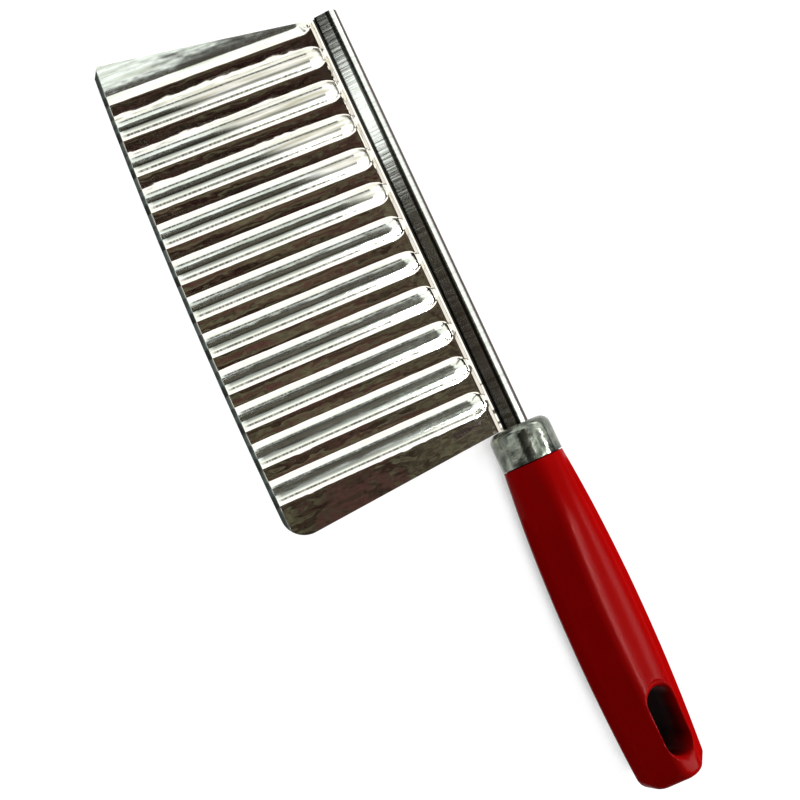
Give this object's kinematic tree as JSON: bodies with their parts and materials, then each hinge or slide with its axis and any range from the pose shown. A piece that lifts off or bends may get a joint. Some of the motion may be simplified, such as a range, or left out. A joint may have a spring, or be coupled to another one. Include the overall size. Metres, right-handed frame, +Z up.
{
  "type": "crinkle cutter",
  "caption": "Hand crinkle cutter with a waved steel blade pinched in a folded spine strip, a domed metal ferrule and a red moulded grip with a hang slot.",
  "frame": {"origin": "middle of the footprint, on the table that the cutting edge and the grip lie on", "axes": "+X along the spine from the blade's tip to the butt, +Y from the cutting edge to the spine, +Z up"},
  "size_m": [0.2322, 0.0772, 0.0201],
  "materials": {
    "blade_steel": "bright rolled",
    "strip_steel": "bright rolled",
    "ferrule_metal": "satin",
    "handle_plastic": "glossy"
  },
  "bodies": {
    "root": {"blade": "blade_steel", "spine_strip": "strip_steel", "ferrule": "ferrule_metal", "handle": "handle_plastic"}
  },
  "joints": []
}
